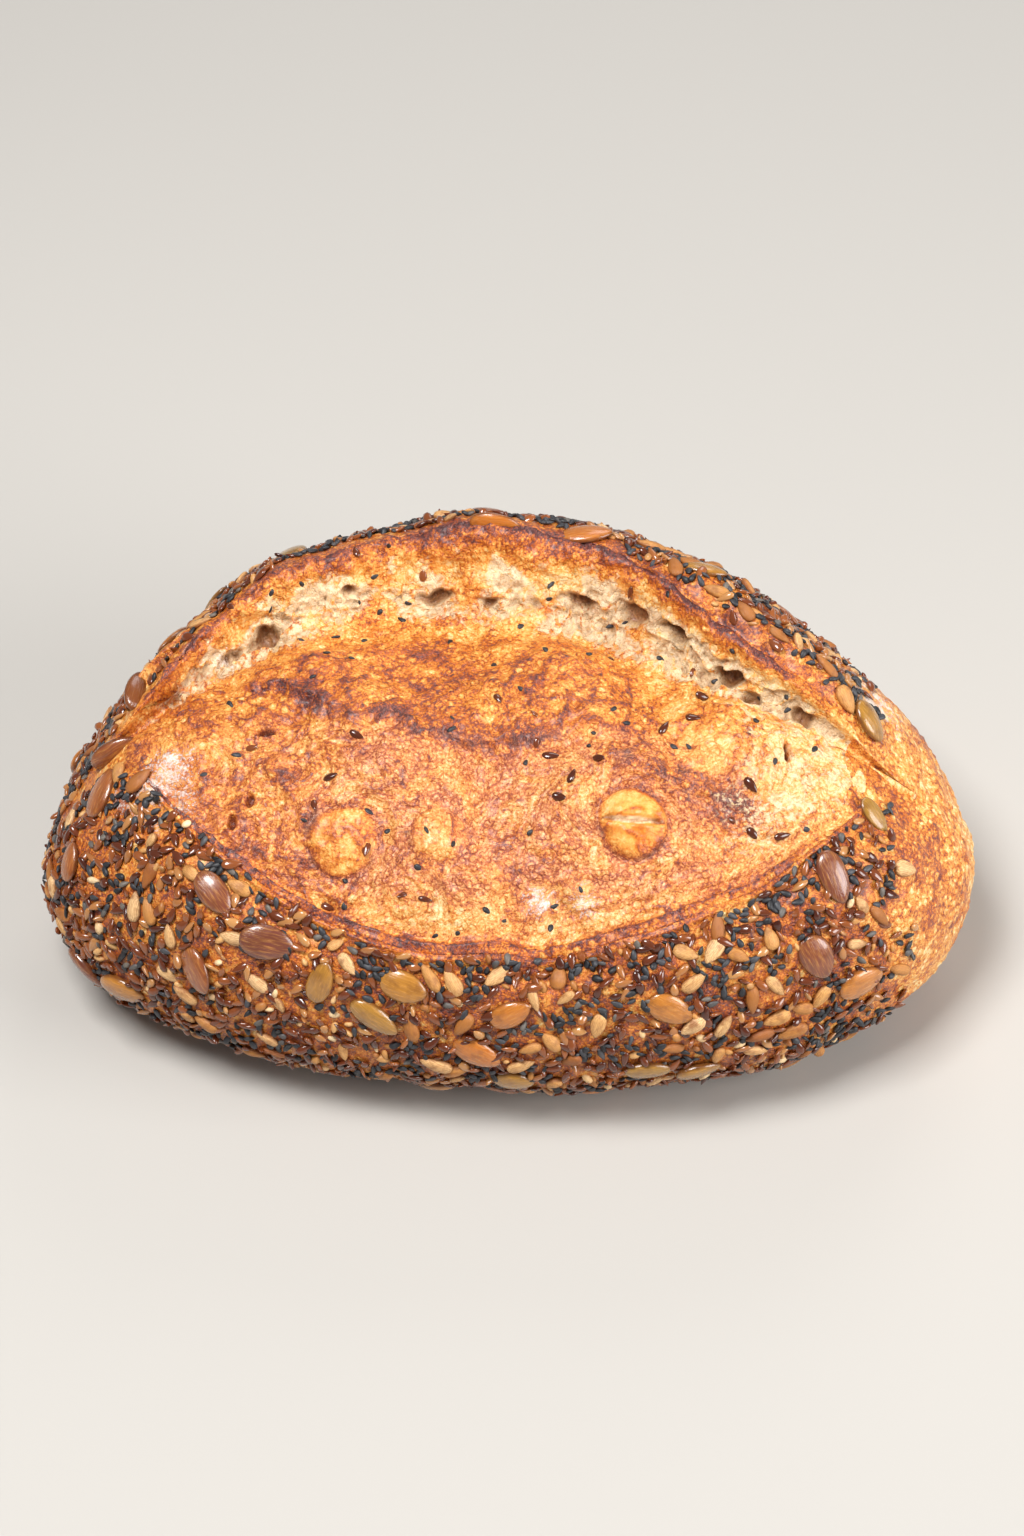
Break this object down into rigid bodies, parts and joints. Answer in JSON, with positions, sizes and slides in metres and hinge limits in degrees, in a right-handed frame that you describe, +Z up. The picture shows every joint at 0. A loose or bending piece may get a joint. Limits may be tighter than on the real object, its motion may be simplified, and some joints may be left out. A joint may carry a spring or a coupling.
{
  "type": "seeded sourdough loaf",
  "caption": "Whole oval hearth loaf with one long burst slash, a standing ear and a crust rolled in seeds; food.",
  "frame": {"origin": "on the table under the middle of the loaf", "axes": "+X along the loaf, +Y from the low lip of the slash to the ear, +Z up"},
  "size_m": [0.28, 0.1836, 0.1204],
  "materials": {
    "crust": "baked crust, satin between the seeds and dry on the bloom"
  },
  "bodies": {
    "root": {"loaf": "crust"}
  },
  "joints": []
}
